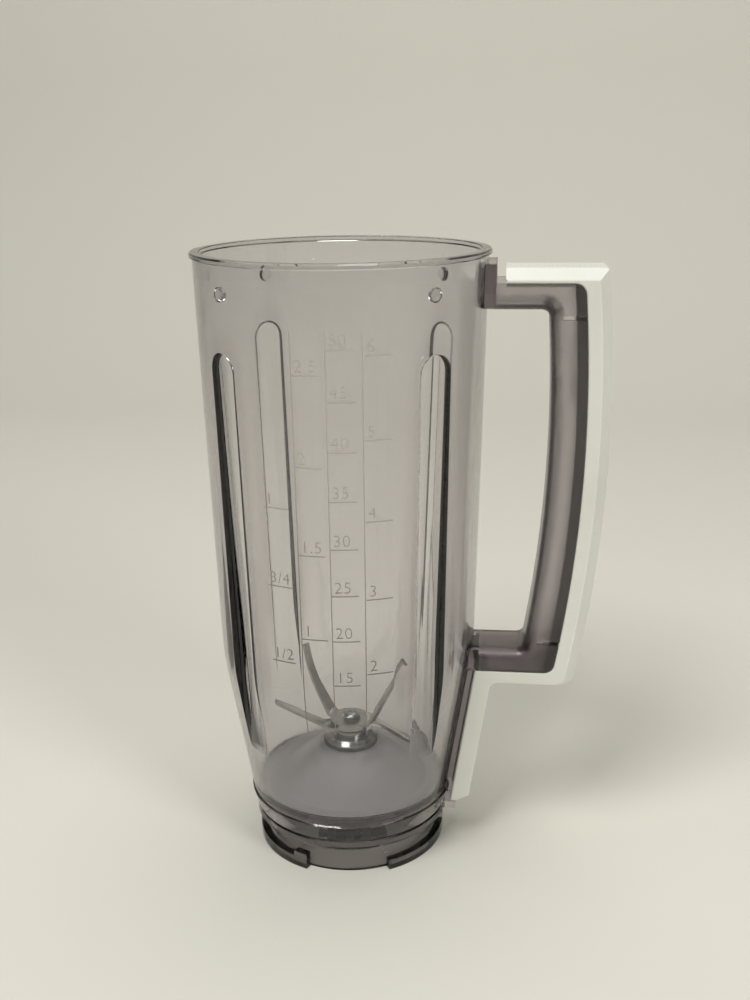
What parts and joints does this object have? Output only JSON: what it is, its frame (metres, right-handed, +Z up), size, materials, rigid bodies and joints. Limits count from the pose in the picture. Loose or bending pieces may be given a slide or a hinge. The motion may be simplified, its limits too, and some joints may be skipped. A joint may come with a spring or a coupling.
{
  "type": "blender jar",
  "caption": "Tall clear fluted blender jar with a rim bead, a loop handle with a white cover, a bayonet base and a spinning blade unit in its floor.",
  "frame": {"origin": "on the jar's axis, in the plane of the skirt's lower edge, which is where the drive unit takes the jar", "axes": "+Z up along the jar's axis through the mouth, +X out through the handle"},
  "size_m": [0.154, 0.11, 0.238],
  "materials": {
    "clear_tinted": "clear smoke-tinted moulding, polished",
    "white_cover": "satin off-white moulding",
    "blade_steel": "stamped stainless",
    "turned_steel": "turned stainless",
    "bush_bronze": "sintered bronze",
    "seal_rubber": "moulded rubber",
    "black_plastic": "moulded, matte"
  },
  "bodies": {
    "jar_body": {"jar": "clear_tinted", "handle_cover": "white_cover", "bearing_housing": "turned_steel", "upper_bush": "bush_bronze", "lower_bush": "bush_bronze", "shaft_seal": "seal_rubber", "housing_gasket": "seal_rubber", "housing_nut": "black_plastic"},
    "blade_unit": {"drive_shaft": "turned_steel", "thrust_washer": "turned_steel", "blade_lower": "blade_steel", "blade_upper": "blade_steel", "cap_nut": "turned_steel", "lower_washer": "turned_steel", "retaining_ring": "turned_steel", "drive_coupling": "black_plastic"}
  },
  "joints": [
    {"name": "blade_spin", "type": "hinge", "parent": "jar_body", "child": "blade_unit", "pos_m": [0, 0, 0.047], "axis": [0, 0, 1], "continuous": true}
  ]
}
